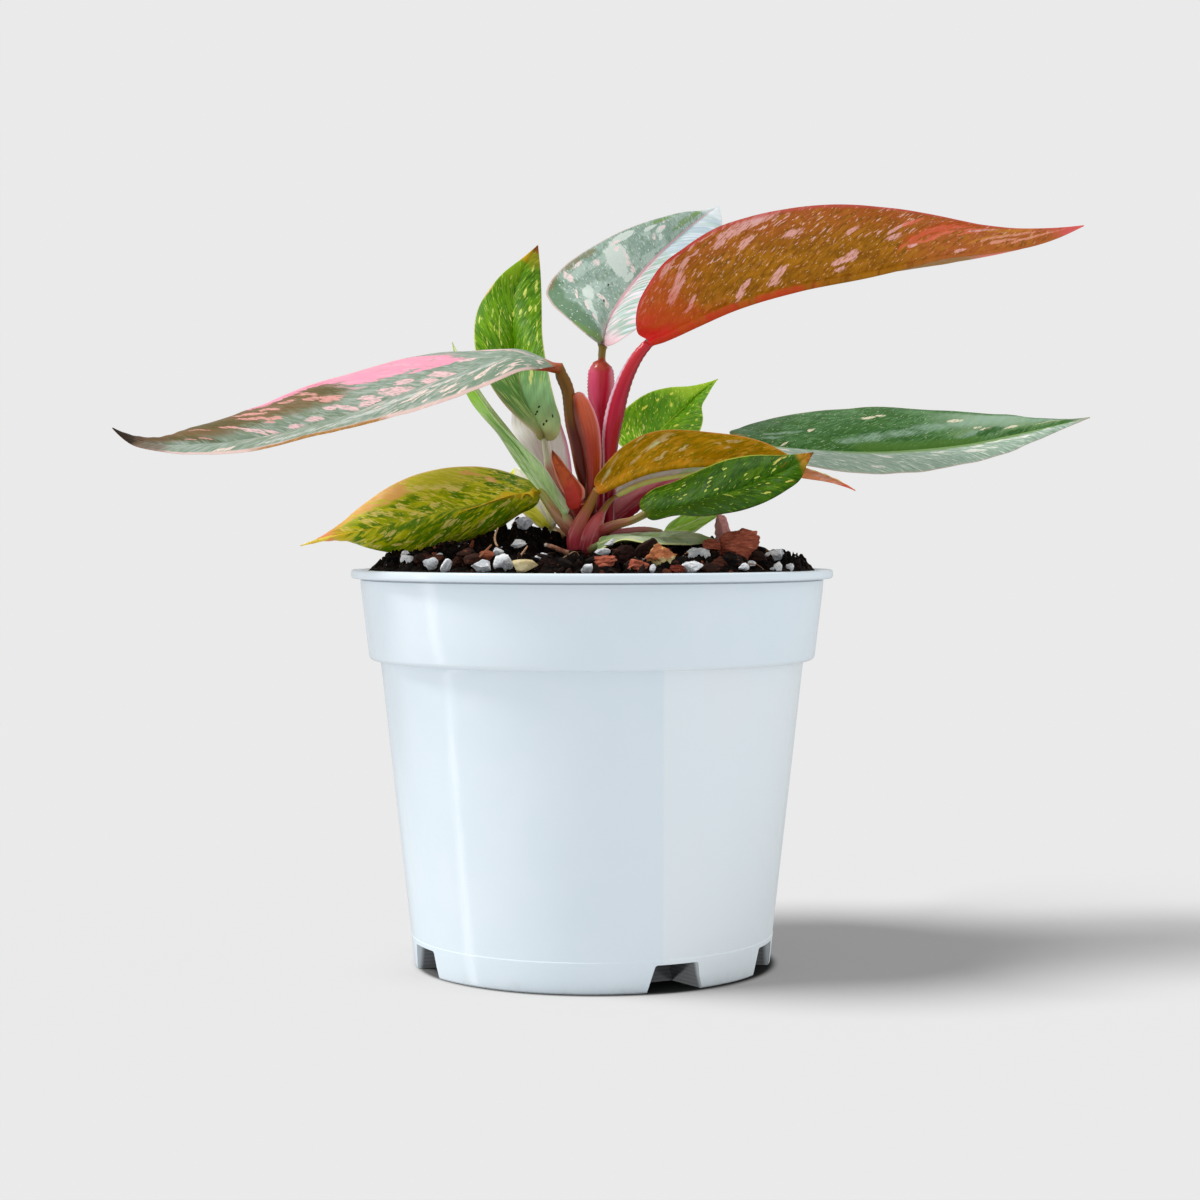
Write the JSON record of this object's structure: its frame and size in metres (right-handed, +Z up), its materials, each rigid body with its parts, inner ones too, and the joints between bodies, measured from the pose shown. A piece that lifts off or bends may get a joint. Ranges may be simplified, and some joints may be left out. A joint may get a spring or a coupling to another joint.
{
  "type": "potted philodendron",
  "caption": "Potted foliage plant: lance-shaped variegated leaves on stout stalks spread from a short stem in potting mix, in a round tapered nursery pot with a banded rim and foot notches",
  "frame": {"origin": "Centre of the pot's foot, on the ground", "axes": "+Z up along the pot's axis; the front, which the picture shows, is the -Y side; +X is to the right of the front view, along the widest spread of the leaves"},
  "size_m": [0.304, 0.1718, 0.2488],
  "materials": {
    "pot_white": "gloss",
    "mix_dark": "matte",
    "stem_red": "satin",
    "leaf_bronze": "satin",
    "leaf_grey_green": "satin",
    "leaf_bright_green": "satin",
    "leaf_yellow_green": "satin",
    "leaf_deep_green": "satin",
    "sheath_red": "satin",
    "sheath_pale": "satin",
    "root_tan": "matte",
    "bark_red": "matte",
    "bark_brown": "matte",
    "wood_pale": "matte",
    "perlite": "matte",
    "pumice": "matte",
    "stone_cream": "matte"
  },
  "bodies": {
    "root": {"nursery_pot": "pot_white", "potting_mix": "mix_dark", "main_stem": "stem_red", "leaf_upper_right": "leaf_bronze", "leaf_long_left": "leaf_grey_green", "leaf_top_back": "leaf_grey_green", "leaf_upright_left": "leaf_bright_green", "leaf_narrow_left": "leaf_bright_green", "leaf_low_left": "leaf_yellow_green", "leaf_arching_right": "leaf_bronze", "leaf_low_right": "leaf_bright_green", "leaf_folded_right": "leaf_grey_green", "leaf_long_right": "leaf_deep_green", "leaf_back_right": "leaf_bright_green", "leaf_on_mix": "leaf_grey_green", "leaf_young_right": "leaf_bright_green", "leaf_young_left": "leaf_yellow_green", "cataphyll_red": "sheath_red", "cataphyll_pale": "sheath_pale", "aerial_root": "root_tan", "bark_chip_large": "bark_red", "bark_chip_red": "bark_red", "bark_chip_small": "bark_red", "bark_chip_dark": "bark_brown", "wood_chip": "wood_pale", "perlite_right": "perlite", "perlite_front": "perlite", "perlite_left": "perlite", "perlite_middle": "perlite", "perlite_far_left": "perlite", "pumice_grey": "pumice", "pumice_top": "pumice", "stone_cream": "stone_cream"}
  },
  "joints": []
}
